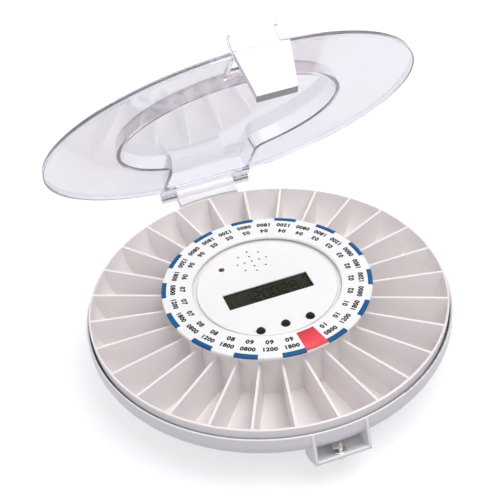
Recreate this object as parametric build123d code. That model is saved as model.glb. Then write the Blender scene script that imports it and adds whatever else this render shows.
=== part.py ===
from build123d import *
import math
import os

# Automatic pill dispenser: a saucer-shaped base, a motor-driven tray of 28 compartments,
# a fixed centre with display and buttons, and a clear hinged lid with a lock at the front.
# Millimetres. The origin is on the tray's axis, at the surface the dispenser stands on.
# +Z is up, the lock is at -Y and the hinge at +Y.

# ---- driving dimensions ----------------------------------------------------

# Base: a vertical band at the rim, then a bowl down to a flat underside.
RIM_R = 95.0
RIM_LIP = 1.1
BAND_H = 5.2
BAND_T = 1.8
BASE_WALL = 1.6
BASE_FLOOR_T = 2.0
UPPER_BEND = (4.0, 5.34)
LOWER_BEND = (4.0, 2.66)
FOOT_H = 3.5
FOOT_RING_W = 6.0
FOOT_SINK = 1.0
FOOT_MARGIN = 1.6
FLAT_MARGIN = 1.5

# Tray: an open bowl with a hub, divided by radial walls.
COMPARTMENTS = 28
DIVIDER_START_DEG = 270.4
DIVIDER_T = 1.3
TRAY_RISE = 4.76
TRAY_WALL = 1.0
TRAY_FLOOR_T = 1.3
TRAY_DEPTH = 22.0
TRAY_WALL_RUN = 14.8
TRAY_BEND = (2.9, 13.4)
HUB_WALL = 1.4
LUG_GROOVE_DEG = 8.0
LUG_DEG = 7.0
LUG_REACH = 1.0

# Dose ring: the flat printed ring that lies on the hub.
DOSE_RING_OVERHANG = 5.8
DOSE_RING_T = 1.6
DOSE_RING_RISE = 8.74

# Display cover: a disc in a groove, inside the dose ring.
DISPLAY_R = 36.4
DISPLAY_RISE = 8.2
DISPLAY_SINK = 1.9
GROOVE_W = 2.2
GROOVE_SINK = 3.3
COVER_T = 1.6
COVER_SKIRT_T = 1.0
LCD_SIZE = (46.2, 12.2)
LCD_POS = (-0.4, -3.3)
LCD_BORDER = 3.0
LCD_WINDOW_SINK = 0.5
BUTTON_X = (-14.5, -1.3, 11.9)
BUTTON_INSET = 6.4
BUTTON_R = 2.15
BUTTON_BASE_H = 0.8
BUTTON_DOME_R = 1.5
BUTTON_H = 2.1
BUTTON_COLLAR = (0.7, 0.8)
BUTTON_TRAVEL = 0.8
SWITCH_SIZE = (6.0, 3.0)
LED_X = -17.1
LED_INSET = 14.2
LED_R = 1.5
LED_RISE = 0.4
SOUNDER_INSET = 14.0
SOUNDER_HOLE_R = 0.6
SOUNDER_RING_R = (0.0, 4.1, 8.05)
SOUNDER_HOLES = (1, 4, 8)
BUZZER_R = 8.5
BUZZER_PORT_R = 1.5

# Centre: batteries below, drive in the middle, circuit board on top.
CELL_R = 7.25
CELL_L = 50.5
CELL_NUB_R = 2.7
CELL_NUB_H = 1.2
CELLS = 4
CELL_GAP = 0.1
CONTACT_ROOM = 2.25
CONTACT_TAB = (9.0, 0.4)
SPRING_R = 3.0
BAY_WALL = 1.4
NECK_WALL = 1.2
HOUSING_WALL = 1.4
HOUSING_FLOOR_T = 1.5
BOSS_R = 3.2
BOSS_CIRCLE_R = 34.0
SCREW_R = 1.2
SCREW_HEAD_R = 2.6
SCREW_HEAD_H = 1.6
SCREW_SLOT_W = 0.8
TRACK_W = 2.0
FLANGE_OVERHANG = 6.0
FLANGE_T = 1.6
BOARD_T = 1.6
BOARD_MARGIN = 1.6
BOARD_POST_R = 2.6
BOARD_POST_INSET = 3.9
BOARD_SCREW_L = 5.0

# Gears: an internal ring on the tray drive and the motor's pinion, 1 mm module.
MODULE = 1.0
RING_TEETH = 85
PINION_TEETH = 18
PRESSURE_DEG = 20.0
BACKLASH = 0.25
GEAR_W = 4.4
RING_GEAR_W = 5.2
RING_GEAR_RIM = 2.9
DRIVE_WALL = 2.1
DRIVE_DEG = 45.0
SHAFT_R = 1.5
MOTOR_R = 14.0
MOTOR_H = 10.0
MOTOR_OFFSET = 7.0
MOTOR_EAR_T = 1.2
MOTOR_SCREW_BITE = 1.2
INDEX_SIZE = (6.0, 10.0, 5.0)
INDEX_TIP = (2.4, 1.4, 1.6)
INDEX_TIP_OUT = 1.5
INDEX_TIP_GAP = 0.7

# Lid: a clear plate with a short skirt and a raised keyhole-shaped plateau.
LID_OVERHANG = 1.4
LID_Y = -2.5
LID_RISE = 1.84
LID_T = 1.6
LID_EDGE_ROUND = 1.0
SKIRT_H = 1.3
LID_OPEN_DEG = 51.9
PLATEAU_MARGIN = 4.3
PLATEAU_GAP = 0.5
PLATEAU_TAPER_DEG = 12.0
PLATEAU_ROUND = 2.2
THROAT_INSET = 0.5
THROAT_FLARE_R = 9.0
THROAT_SETBACK = 1.9
THROAT_CORNER_R = 4.0
OPENING_INSET = 7.0
OPENING_MARGIN = 9.4
OPENING_LIP = (1.2, 2.0)
POST_MARGIN = 1.8
POST_T = 1.2
POST_H = 9.0

# Hinge: a block on the base between the lid's two knuckles.
HINGE_SETBACK = 8.8
HINGE_DROP = 1.0
HINGE_BLOCK_HALF_W = 17.0
HINGE_BLOCK_DROP = 1.0
HINGE_BLOCK_H = 12.0
HINGE_BLOCK_REACH = 5.0
KNUCKLE_R = 3.2
KNUCKLE_W = 9.0
PIN_R = 1.5
PIN_SINK = 11.0

# Tongue on the lid and the lock pocket that takes it. Places along Y count from the rim.
TONGUE_TOP_HALF_W = 12.8
TONGUE_TIP_HALF_W = 9.35
TONGUE_L = 20.9
TONGUE_OUT = 4.4
TONGUE_DEPTH = 3.8
TONGUE_WALL = 1.8
HOOD_SIDE_INSET = 2.7
HOOD_INSET = 2.8
HOOD_T = 2.0
HOOD_H = 8.5
KEEPER_T = 0.2
KEEPER_SLOPE = 1.4
POCKET_WALL = 1.4
POCKET_OUT = 2.1
POCKET_INSET = 5.7
POCKET_LIP_H = 0.6
POCKET_FLOOR_DROP = 4.6
LOCK_ROOT_INSET = 11.0
BARREL_INSET = 1.7
BARREL_R = 3.3
BARREL_L = 4.4
KEYWAY = (1.0, 4.0, 2.0)
CAM_T = 1.2
CAM_REACH = 4.1
CAM_HUB_R = 1.7
CAM_POST_R = 1.4
CAM_SCREW_R = 0.9
CAM_SCREW_H = 0.5

# Battery door: a round cover that a coin turns, held by three lugs.
DOOR_MARGIN = 0.5
DOOR_LUGS = 3
DOOR_LUG_DEG = 20.0
DOOR_TURN_DEG = 40.0
DOOR_LUG_W = 3.2
DOOR_LUG_REACH = 1.6
DOOR_LUG_T = 1.3
COIN_SLOT = (18.0, 2.4, 1.0)

# ---- clearances --------------------------------------------------------------

RUNNING_GAP = 0.08      # shaft or ring on its bearing
PIN_GAP = 0.06          # lid knuckle on the hinge pin
TRAY_RIM_GAP = 0.6      # tray lip to base rim
LIFT_GAP = 0.6          # between surfaces that pass each other
FACE_GAP = 0.3          # between parts that only lie close
SEAT_GAP = 0.1          # part set into its recess
HUB_GAP = 0.5           # tray hub round the drive ring
HOUSING_GAP = 0.7       # centre housing inside the tray hub
TIP_GAP = 1.5           # tongue's end over the pocket's front wall
FILLET = 0.5

# ---- radii and widths that follow from these -----------------------------------

CELL_PITCH = 2 * CELL_R + CELL_GAP
BAY_X = CELLS * CELL_PITCH + 2 * CELL_GAP
BAY_Y = CELL_L + 2 * CONTACT_ROOM
DOOR_R = math.hypot(BAY_X / 2, BAY_Y / 2) + DOOR_MARGIN
DOOR_HOLE_R = DOOR_R + FACE_GAP
DOOR_LUG_IN_R = DOOR_R - DOOR_LUG_W
DOOR_LUG_OUT_R = DOOR_HOLE_R + DOOR_LUG_REACH
FOOT_RING_R = DOOR_LUG_OUT_R + FACE_GAP + FOOT_MARGIN + FOOT_RING_W
FLAT_R = FOOT_RING_R + FLAT_MARGIN
TRACK_R = FLAT_R
FLANGE_R = TRACK_R + FLANGE_OVERHANG
NECK_R = DOOR_LUG_OUT_R + 2 * FACE_GAP + NECK_WALL

RING_PITCH_R = MODULE * RING_TEETH / 2
PINION_PITCH_R = MODULE * PINION_TEETH / 2
RING_TIP_R = RING_PITCH_R - 0.85 * MODULE
RING_ROOT_R = RING_PITCH_R + 1.2 * MODULE
PINION_TIP_R = PINION_PITCH_R + 0.85 * MODULE
PINION_ROOT_R = PINION_PITCH_R - 1.25 * MODULE
RING_BORE_R = NECK_R + RUNNING_GAP
RING_GEAR_R = max(RING_ROOT_R + RING_GEAR_RIM, RING_BORE_R + DRIVE_WALL)
SHAFT_DISTANCE = RING_PITCH_R - PINION_PITCH_R

HUB_BORE_R = RING_GEAR_R + HUB_GAP
HUB_R = HUB_BORE_R + HUB_WALL
HOUSING_R = HUB_BORE_R - HOUSING_GAP
BOARD_R = HOUSING_R - HOUSING_WALL - BOARD_MARGIN
BOARD_POST_CIRCLE_R = BOARD_R - BOARD_POST_INSET
DOSE_RING_R = HUB_R + DOSE_RING_OVERHANG
DOSE_RING_HOLE_R = DISPLAY_R + GROOVE_W
TRAY_R = RIM_R - RIM_LIP - TRAY_RIM_GAP - TRAY_WALL
TRAY_FLOOR_R = TRAY_R - TRAY_WALL_RUN

LID_R = RIM_R + LID_OVERHANG
PLATEAU_R = DOSE_RING_R + PLATEAU_MARGIN
HINGE_EDGE_Y = LID_R + LID_Y
HINGE_Y = HINGE_EDGE_Y + HINGE_SETBACK
KNUCKLE_END_X = HINGE_BLOCK_HALF_W + KNUCKLE_W
THROAT_HALF_W = KNUCKLE_END_X - THROAT_INSET
THROAT_END_Y = HINGE_EDGE_Y - THROAT_SETBACK

TONGUE_FRONT_Y = -RIM_R - TONGUE_OUT
HOOD_HALF_W = TONGUE_TOP_HALF_W - HOOD_SIDE_INSET
HOOD_Y = (-RIM_R + HOOD_INSET, -RIM_R + HOOD_INSET + HOOD_T)
OPENING_HALF_W = HOOD_HALF_W + POST_T
OPENING_Y = (-RIM_R + OPENING_INSET, -PLATEAU_R - OPENING_MARGIN)
POST_Y = (HOOD_Y[0] - POST_MARGIN, HOOD_Y[1] + POST_MARGIN)
POCKET_HALF_W = TONGUE_TOP_HALF_W + SEAT_GAP
POCKET_FRONT_Y = -RIM_R - POCKET_OUT
POCKET_BACK_Y = -RIM_R + POCKET_INSET
LOCK_ROOT_R = RIM_R - LOCK_ROOT_INSET
BARREL_Y = -RIM_R + BARREL_INSET

BUTTON_Y = BUTTON_INSET - DISPLAY_R
LED_POS = (LED_X, DISPLAY_R - LED_INSET)
SOUNDER_POS = (0.0, DISPLAY_R - SOUNDER_INSET)

# ---- heights that follow, from the underside up ---------------------------------

BOTTOM_Z = FOOT_H
FLOOR_TOP_Z = BOTTOM_Z + BASE_FLOOR_T
DOOR_LUG_Z = FLOOR_TOP_Z + 2 * SEAT_GAP
CELL_Z = FLOOR_TOP_Z + FACE_GAP + CELL_R
BAY_TOP_Z = CELL_Z + CELL_R + FACE_GAP
NECK_TOP_Z = BAY_TOP_Z + BAY_WALL
RING_GEAR_Z = NECK_TOP_Z + FACE_GAP
PINION_Z = RING_GEAR_Z + (RING_GEAR_W - GEAR_W) / 2
HOUSING_Z = RING_GEAR_Z + RING_GEAR_W + LIFT_GAP
HOUSING_FLOOR_Z = HOUSING_Z + HOUSING_FLOOR_T
BOARD_Z = HOUSING_FLOOR_Z + MOTOR_H + LIFT_GAP
BOARD_TOP_Z = BOARD_Z + BOARD_T
DISPLAY_Z = BOARD_TOP_Z + DISPLAY_RISE
DOSE_RING_TOP_Z = DISPLAY_Z + DISPLAY_SINK
RING_BOTTOM_Z = DOSE_RING_TOP_Z - DOSE_RING_T
GROOVE_Z = DOSE_RING_TOP_Z - GROOVE_SINK
COVER_Z = GROOVE_Z - COVER_T
DIVIDER_TOP_Z = DOSE_RING_TOP_Z - DOSE_RING_RISE
TRAY_FLOOR_Z = DIVIDER_TOP_Z - TRAY_DEPTH
TRAY_BOTTOM_Z = TRAY_FLOOR_Z - TRAY_FLOOR_T
FLANGE_BOTTOM_Z = TRAY_BOTTOM_Z - FLANGE_T
RIM_Z = DIVIDER_TOP_Z - TRAY_RISE
BAND_Z = RIM_Z - BAND_H

LID_Z = DIVIDER_TOP_Z + LID_RISE
LID_TOP_Z = LID_Z + LID_T
SKIRT_Z = LID_Z - SKIRT_H
PLATEAU_Z = DISPLAY_Z + BUTTON_H + PLATEAU_GAP + LID_T
HINGE_Z = LID_Z - HINGE_DROP
HINGE_BLOCK_TOP_Z = HINGE_Z - HINGE_BLOCK_DROP
HINGE_BLOCK_FOOT_Z = HINGE_BLOCK_TOP_Z - HINGE_BLOCK_H
TONGUE_TIP_Z = LID_Z - TONGUE_L
POCKET_FRONT_TOP_Z = TONGUE_TIP_Z - TIP_GAP
POCKET_FLOOR_FRONT_Z = POCKET_FRONT_TOP_Z - POCKET_LIP_H
POCKET_FLOOR_BACK_Z = POCKET_FLOOR_FRONT_Z - POCKET_FLOOR_DROP
BARREL_TOP_Z = POCKET_FLOOR_FRONT_Z
BARREL_BOTTOM_Z = BARREL_TOP_Z - BARREL_L
CAM_Z = TONGUE_TIP_Z + FACE_GAP

DRIVE_DIR = (math.cos(math.radians(DRIVE_DEG)), math.sin(math.radians(DRIVE_DEG)))
SHAFT_POS = (SHAFT_DISTANCE * DRIVE_DIR[0], SHAFT_DISTANCE * DRIVE_DIR[1])
MOTOR_POS = tuple((SHAFT_DISTANCE - MOTOR_OFFSET) * c for c in DRIVE_DIR)
HINGE_AXIS = Axis((0, HINGE_Y, HINGE_Z), (-1, 0, 0))
Z_AXIS = Axis.Z
BEYOND = 20.0           # how far a cutting shape runs past what it cuts


# ---- helpers -------------------------------------------------------------------

def cylinder(radius, z0, z1, at=(0, 0)):
    """Upright cylinder between two heights."""
    return Pos(at[0], at[1], z0) * extrude(Circle(radius), z1 - z0)


def tube(outer, inner, z0, z1, at=(0, 0)):
    """Upright tube between two heights."""
    return cylinder(outer, z0, z1, at) - cylinder(inner, z0 - 1, z1 + 1, at)


def block(x, y, z):
    """Box from its two limits on each axis."""
    centre = [(low + high) / 2 for low, high in (x, y, z)]
    return Pos(*centre) * Box(x[1] - x[0], y[1] - y[0], z[1] - z[0])


def turned(edges):
    """Solid of revolution about Z of a closed outline in the XZ plane."""
    return revolve(make_face(edges), Z_AXIS, 360)


def path(*points):
    """Straight edges through points given as (radius, height)."""
    return Polyline(*[(r, 0, z) for r, z in points])


def side_profile(points, half_width):
    """Prism along X of a closed (y, z) outline."""
    outline = make_face(Polyline(*[(0, y, z) for y, z in points], close=True))
    return extrude(outline, half_width, dir=(1, 0, 0), both=True)


def polar(radius, degrees):
    angle = math.radians(degrees)
    return (radius * math.cos(angle), radius * math.sin(angle))


def sector(outer, inner, z0, z1, middle_deg, width_deg):
    """Piece of a tube that spans a given angle."""
    ring = tube(outer, inner, z0, z1)
    far = 2 * outer
    corners = [polar(far, middle_deg + s * width_deg / 2) for s in (-1, 1)]
    wedge = Pos(0, 0, z0) * extrude(make_face(Polyline((0, 0), *corners, close=True)), z1 - z0)
    return ring & wedge


def closed_lid_to_open(part):
    """Lid parts are drawn closed; the dispenser is kept with its lid open."""
    return part.rotate(HINGE_AXIS, LID_OPEN_DEG)


def screw(x, y, head_z, length):
    """Pan-head screw pointing down, its head's seat at head_z."""
    shank = cylinder(SCREW_R, head_z - length, head_z, (x, y))
    head = cylinder(SCREW_HEAD_R, head_z, head_z + SCREW_HEAD_H, (x, y))
    slot = block((x - SCREW_HEAD_R, x + SCREW_HEAD_R), (y - SCREW_SLOT_W / 2, y + SCREW_SLOT_W / 2),
                 (head_z + SCREW_HEAD_H / 2, head_z + 2 * SCREW_HEAD_H))
    return shank + head - slot


# ---- gears -----------------------------------------------------------------------

def involute(angle):
    return math.tan(angle) - angle


def half_tooth(radius, pitch_r, internal):
    """Half of a tooth's angle at a radius, for an involute tooth with backlash."""
    at_pitch = (math.pi * MODULE / 2 - BACKLASH) / (2 * pitch_r)
    base_r = pitch_r * math.cos(math.radians(PRESSURE_DEG))
    here = math.acos(min(1.0, base_r / radius))
    change = involute(math.radians(PRESSURE_DEG)) - involute(here)
    return at_pitch - change if internal else at_pitch + change


def gear_outline(teeth, pitch_r, root_r, tip_r, internal, start_deg):
    """Closed outline of a gear, one tooth centred on start_deg."""
    points = []
    for tooth in range(teeth):
        middle = math.radians(start_deg) + 2 * math.pi * tooth / teeth
        flank = [(r, half_tooth(r, pitch_r, internal)) for r in (root_r, pitch_r, tip_r)]
        points += [(r, middle - half) for r, half in flank]
        points += [(r, middle + half) for r, half in reversed(flank)]
    return Polyline(*[(r * math.cos(a), r * math.sin(a)) for r, a in points], close=True)


# ---- base ----------------------------------------------------------------------

def bowl_curve(inset, end_z):
    """Bowl wall from the band, round the tray's outer wall, down to the flat underside.

    The inset moves it in by a wall's thickness.
    """
    upper = (RIM_R - UPPER_BEND[0] - 0.8 * inset,
             TRAY_BOTTOM_Z + UPPER_BEND[1] + 0.6 * inset)
    lower = (TRAY_FLOOR_R + LOWER_BEND[0] - 0.65 * inset,
             TRAY_BOTTOM_Z - LOWER_BEND[1] + 0.75 * inset)
    start_r = RIM_R - (BAND_T if inset else 0)
    points = [(start_r, BAND_Z), upper, lower, (FLAT_R, end_z)]
    return Spline(*[(r, 0, z) for r, z in points], tangents=((0, 0, -1), (-1, 0, -0.2)))


def base_bowl():
    rim = path((RIM_R, BAND_Z), (RIM_R, RIM_Z - RIM_LIP / 2))
    lip = ThreePointArc((RIM_R, 0, RIM_Z - RIM_LIP / 2), (RIM_R - RIM_LIP / 2, 0, RIM_Z),
                        (RIM_R - RIM_LIP, 0, RIM_Z - RIM_LIP / 2))
    inner_band = path((RIM_R - RIM_LIP, RIM_Z - RIM_LIP / 2), (RIM_R - BAND_T, BAND_Z))
    under = path((FLAT_R, BOTTOM_Z), (DOOR_HOLE_R, BOTTOM_Z), (DOOR_HOLE_R, FLOOR_TOP_Z),
                 (FLAT_R, FLOOR_TOP_Z))
    outline = bowl_curve(0, BOTTOM_Z).edges() + under.edges()
    outline += bowl_curve(BASE_WALL, FLOOR_TOP_Z).edges() + inner_band.edges() + lip.edges()
    return turned(outline + rim.edges())


def outside_of_bowl():
    """Everything inside the bowl's outer surface, to keep added walls out of the tray."""
    top_z = RIM_Z + BEYOND
    top = path((RIM_R, BAND_Z), (RIM_R, top_z), (0, top_z), (0, BOTTOM_Z), (FLAT_R, BOTTOM_Z))
    return turned(bowl_curve(0, BOTTOM_Z).edges() + top.edges())


def battery_bay():
    outer_x, outer_y = BAY_X / 2 + BAY_WALL, BAY_Y / 2 + BAY_WALL
    wall_z = DOOR_LUG_Z + DOOR_LUG_T + FACE_GAP
    walls = block((-outer_x, outer_x), (-outer_y, outer_y), (wall_z, BAY_TOP_Z))
    walls -= block((-BAY_X / 2, BAY_X / 2), (-BAY_Y / 2, BAY_Y / 2), (wall_z - 1, BAY_TOP_Z + 1))
    return walls


def boss_positions():
    return [polar(BOSS_CIRCLE_R, 90 * k) for k in range(4)]


def hinge_block():
    """Block behind the rim that ends in the hinge's barrel."""
    front_y = RIM_R - HINGE_BLOCK_REACH
    profile = [(front_y, HINGE_BLOCK_FOOT_Z), (front_y, HINGE_BLOCK_TOP_Z),
               (HINGE_Y, HINGE_BLOCK_TOP_Z), (HINGE_Y + 0.7 * KNUCKLE_R, HINGE_Z - 0.7 * KNUCKLE_R)]
    solid = side_profile(profile, HINGE_BLOCK_HALF_W)
    solid += Pos(0, HINGE_Y, HINGE_Z) * Rot(0, 90, 0) * Cylinder(KNUCKLE_R, 2 * HINGE_BLOCK_HALF_W)
    solid -= cylinder(RIM_R - RIM_LIP / 2, BAND_Z, HINGE_BLOCK_TOP_Z + 1)
    return solid - outside_of_bowl()


def hinge_pin_holes(radius):
    """The two pins' spaces: each runs from inside the block to the knuckle's end."""
    length = PIN_SINK + KNUCKLE_END_X - HINGE_BLOCK_HALF_W
    middle = KNUCKLE_END_X - length / 2
    return [Pos(side * middle, HINGE_Y, HINGE_Z) * Rot(0, 90, 0) * Cylinder(radius, length)
            for side in (-1, 1)]


def make_lock_housing():
    """Open pocket in front of the rim: two cheeks, a sloping floor and a low front wall."""
    back_y, back_z = POCKET_BACK_Y, POCKET_FLOOR_BACK_Z
    rim_front = -(RIM_R - 0.7 * RIM_LIP)
    front_outer = POCKET_FRONT_Y - POCKET_WALL
    outer = [(back_y, RIM_Z), (rim_front, RIM_Z), (front_outer, POCKET_FRONT_TOP_Z),
             (front_outer, POCKET_FLOOR_FRONT_Z - POCKET_WALL / 2), (back_y, back_z - POCKET_WALL),
             (-LOCK_ROOT_R, back_z - POCKET_WALL), (-LOCK_ROOT_R, BAND_Z)]
    inner = [(POCKET_FRONT_Y, RIM_Z + 1), (POCKET_FRONT_Y, POCKET_FLOOR_FRONT_Z), (back_y, back_z),
             (-LOCK_ROOT_R - 1, back_z), (-LOCK_ROOT_R - 1, RIM_Z + 1)]
    above_front = [(POCKET_FRONT_Y + 1, RIM_Z + 1), (front_outer - 1, RIM_Z + 1),
                   (front_outer - 1, POCKET_FRONT_TOP_Z), (POCKET_FRONT_Y + 1, POCKET_FRONT_TOP_Z)]
    half = POCKET_HALF_W + POCKET_WALL
    solid = side_profile(outer, half) - side_profile(inner, POCKET_HALF_W)
    solid -= side_profile(above_front, POCKET_HALF_W)
    solid -= cylinder(BARREL_R, BARREL_BOTTOM_Z - 1, BARREL_TOP_Z + 1, (0, BARREL_Y))
    return solid - outside_of_bowl()


def make_base_shell():
    shell = base_bowl()
    shell += tube(TRACK_R, TRACK_R - TRACK_W, FLOOR_TOP_Z - 0.5, FLANGE_BOTTOM_Z - SEAT_GAP)
    shell += tube(NECK_R, NECK_R - NECK_WALL, FLOOR_TOP_Z - 0.5, NECK_TOP_Z)
    shell += cylinder(NECK_R, BAY_TOP_Z, NECK_TOP_Z)
    shell += battery_bay()
    for x, y in boss_positions():
        shell += cylinder(BOSS_R, BAY_TOP_Z, HOUSING_Z, (x, y))
        shell -= cylinder(SCREW_R, NECK_TOP_Z - 0.5, HOUSING_Z + 1, (x, y))
    shell -= tube(FOOT_RING_R, FOOT_RING_R - FOOT_RING_W, BOTTOM_Z - 1, BOTTOM_Z + FOOT_SINK)
    for k in range(DOOR_LUGS):
        middle = 360 * k / DOOR_LUGS + DOOR_TURN_DEG
        shell -= sector(DOOR_LUG_OUT_R + FACE_GAP, DOOR_HOLE_R - 1, BOTTOM_Z - 1, FLOOR_TOP_Z + 1,
                        middle, DOOR_LUG_DEG + 2)
    shell += hinge_block()
    for hole in hinge_pin_holes(PIN_R):
        shell -= hole
    return shell


def make_foot_ring():
    ring = tube(FOOT_RING_R, FOOT_RING_R - FOOT_RING_W, 0, BOTTOM_Z + FOOT_SINK)
    return chamfer(ring.edges().group_by(Z_AXIS)[0], 0.6)


def make_hinge_pins():
    return Compound(hinge_pin_holes(PIN_R))


# ---- batteries --------------------------------------------------------------------

def cell_positions():
    return [(k - (CELLS - 1) / 2) * CELL_PITCH for k in range(CELLS)]


def make_battery_cells():
    cells = []
    for k, x in enumerate(cell_positions()):
        nub = Pos(0, 0, CELL_L / 2) * Cylinder(CELL_NUB_R, CELL_NUB_H)
        can = Cylinder(CELL_R, CELL_L - CELL_NUB_H) + nub
        turn = 90 if k % 2 else -90
        cells.append(Pos(x, 0, CELL_Z) * Rot(turn, 0, 0) * Pos(0, 0, -CELL_NUB_H / 2) * can)
    return Compound(cells)


def make_battery_contacts():
    """A sprung tab at each end of each cell."""
    tab, tab_t = CONTACT_TAB
    contacts = []
    for x in cell_positions():
        for side in (-1, 1):
            wall_y = side * BAY_Y / 2
            plate = Pos(x, wall_y - side * tab_t / 2, CELL_Z) * Box(tab, tab_t, tab)
            reach = CONTACT_ROOM - tab_t - FACE_GAP
            middle = wall_y - side * (tab_t + reach / 2)
            contacts.append(plate + Pos(x, middle, CELL_Z) * Rot(90, 0, 0) * Cylinder(SPRING_R, reach))
    return Compound(contacts)


def make_battery_door():
    door = cylinder(DOOR_R, BOTTOM_Z, FLOOR_TOP_Z)
    for k in range(DOOR_LUGS):
        middle = 360 * k / DOOR_LUGS
        door += sector(DOOR_R, DOOR_LUG_IN_R, FLOOR_TOP_Z, DOOR_LUG_Z + DOOR_LUG_T, middle, DOOR_LUG_DEG)
        door += sector(DOOR_LUG_OUT_R, DOOR_LUG_IN_R, DOOR_LUG_Z, DOOR_LUG_Z + DOOR_LUG_T, middle,
                       DOOR_LUG_DEG)
    slot_l, slot_w, slot_depth = COIN_SLOT
    coin_slot = Pos(0, 0, BOTTOM_Z) * Box(slot_l, slot_w, 2 * slot_depth)
    return door - coin_slot


# ---- tray -------------------------------------------------------------------------

def tray_curve(outset):
    """Curved outer wall of the tray from its floor to its lip; outset gives the outer face."""
    wall = outset * TRAY_WALL
    bend_r, bend_drop = TRAY_BEND
    points = [(TRAY_FLOOR_R, TRAY_FLOOR_Z - outset * TRAY_FLOOR_T),
              (TRAY_R - bend_r + 0.85 * wall, DIVIDER_TOP_Z - bend_drop - 0.55 * wall),
              (TRAY_R + wall, DIVIDER_TOP_Z - outset * TRAY_WALL / 2)]
    return Spline(*[(r, 0, z) for r, z in points], tangents=((1, 0, 0.1), (0.04, 0, 1)))


def make_tray_bowl():
    lip_r, lip_z = TRAY_R + TRAY_WALL, DIVIDER_TOP_Z
    outer, inner = tray_curve(1), tray_curve(0)
    lip = ThreePointArc((lip_r, 0, lip_z - TRAY_WALL / 2), (lip_r - 0.35 * TRAY_WALL, 0, lip_z),
                        (TRAY_R, 0, lip_z))
    hub = path((TRAY_FLOOR_R, TRAY_FLOOR_Z), (HUB_R, TRAY_FLOOR_Z), (HUB_R, RING_BOTTOM_Z),
               (HUB_BORE_R, RING_BOTTOM_Z), (HUB_BORE_R, TRAY_BOTTOM_Z), (TRAY_FLOOR_R, TRAY_BOTTOM_Z))
    bowl = turned(outer.edges() + lip.edges() + inner.edges() + hub.edges())
    for k in range(4):
        bowl -= sector(RING_GEAR_R + LUG_REACH + 2 * SEAT_GAP, RING_GEAR_R, TRAY_BOTTOM_Z - 1,
                       RING_GEAR_Z + RING_GEAR_W + 1, 90 * k, LUG_GROOVE_DEG)
    return bowl


def compartment_space():
    """The ring-shaped space between hub and outer wall, up to the dividers' top."""
    rest = path((TRAY_R, DIVIDER_TOP_Z), (HUB_R, DIVIDER_TOP_Z), (HUB_R, TRAY_FLOOR_Z),
                (TRAY_FLOOR_R, TRAY_FLOOR_Z))
    return turned(tray_curve(0).edges() + rest.edges())


def make_tray_dividers():
    blade = block((HUB_R - 1, TRAY_R + 1), (-DIVIDER_T / 2, DIVIDER_T / 2),
                  (TRAY_FLOOR_Z, DIVIDER_TOP_Z)) & compartment_space()
    step = 360 / COMPARTMENTS
    return Compound([blade.rotate(Z_AXIS, DIVIDER_START_DEG + k * step).solids()[0]
                     for k in range(COMPARTMENTS)])


def make_dose_ring():
    ring = tube(DOSE_RING_R, DOSE_RING_HOLE_R, RING_BOTTOM_Z, DOSE_RING_TOP_Z)
    return fillet(ring.edges().group_by(Z_AXIS)[-1], FILLET)


def make_drive_ring():
    """Turntable under the tray: a flange on the base's track and an internal gear above it."""
    gear_top_z = RING_GEAR_Z + RING_GEAR_W
    ring = tube(FLANGE_R, RING_BORE_R, FLANGE_BOTTOM_Z, TRAY_BOTTOM_Z)
    ring += tube(RING_GEAR_R, RING_BORE_R, TRAY_BOTTOM_Z, RING_GEAR_Z)
    tooth_start = DRIVE_DEG + 180 / RING_TEETH
    inside = make_face(gear_outline(RING_TEETH, RING_PITCH_R, RING_ROOT_R, RING_TIP_R, True, tooth_start))
    ring += Pos(0, 0, RING_GEAR_Z) * extrude(Circle(RING_GEAR_R) - inside, RING_GEAR_W)
    for k in range(4):
        ring += sector(RING_GEAR_R + LUG_REACH, RING_GEAR_R - 1, TRAY_BOTTOM_Z, gear_top_z, 90 * k, LUG_DEG)
    return ring


# ---- drive ------------------------------------------------------------------------

def make_motor_pinion():
    outline = gear_outline(PINION_TEETH, PINION_PITCH_R, PINION_ROOT_R, PINION_TIP_R, False, DRIVE_DEG)
    gear = extrude(make_face(outline) - Circle(SHAFT_R), GEAR_W)
    return Pos(*SHAFT_POS, PINION_Z) * gear


def make_motor_shaft():
    return cylinder(SHAFT_R, PINION_Z, HOUSING_FLOOR_Z + MOTOR_H / 2, SHAFT_POS)


def motor_screw_positions():
    reach = MOTOR_R + SCREW_HEAD_R + FACE_GAP
    return [(MOTOR_POS[0] - side * reach * DRIVE_DIR[1], MOTOR_POS[1] + side * reach * DRIVE_DIR[0])
            for side in (-1, 1)]


def make_drive_motor():
    floor = HOUSING_FLOOR_Z
    motor = fillet(cylinder(MOTOR_R, floor, floor + MOTOR_H, MOTOR_POS).edges().group_by(Z_AXIS)[-1], 1)
    ear_l = 2 * (MOTOR_R + 2 * SCREW_HEAD_R + FACE_GAP)
    ear = extrude(SlotOverall(ear_l, 2 * (SCREW_HEAD_R + FACE_GAP)), MOTOR_EAR_T)
    motor += Pos(*MOTOR_POS, floor) * Rot(0, 0, DRIVE_DEG + 90) * ear
    motor += cylinder(2 * SHAFT_R - SEAT_GAP, HOUSING_Z, floor, SHAFT_POS)
    motor -= cylinder(SHAFT_R + RUNNING_GAP, HOUSING_Z - 1, floor + MOTOR_H / 2 + FACE_GAP, SHAFT_POS)
    for x, y in motor_screw_positions():
        motor -= cylinder(SCREW_R, floor - 1, floor + MOTOR_EAR_T + 1, (x, y))
    return motor


def make_motor_screws():
    seat = HOUSING_FLOOR_Z + MOTOR_EAR_T
    length = MOTOR_EAR_T + MOTOR_SCREW_BITE
    return Compound([screw(x, y, seat, length) for x, y in motor_screw_positions()])


# ---- centre -----------------------------------------------------------------------

def board_post_positions():
    return [polar(BOARD_POST_CIRCLE_R, DRIVE_DEG + 90 * k) for k in (1, 2, 3)]


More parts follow.
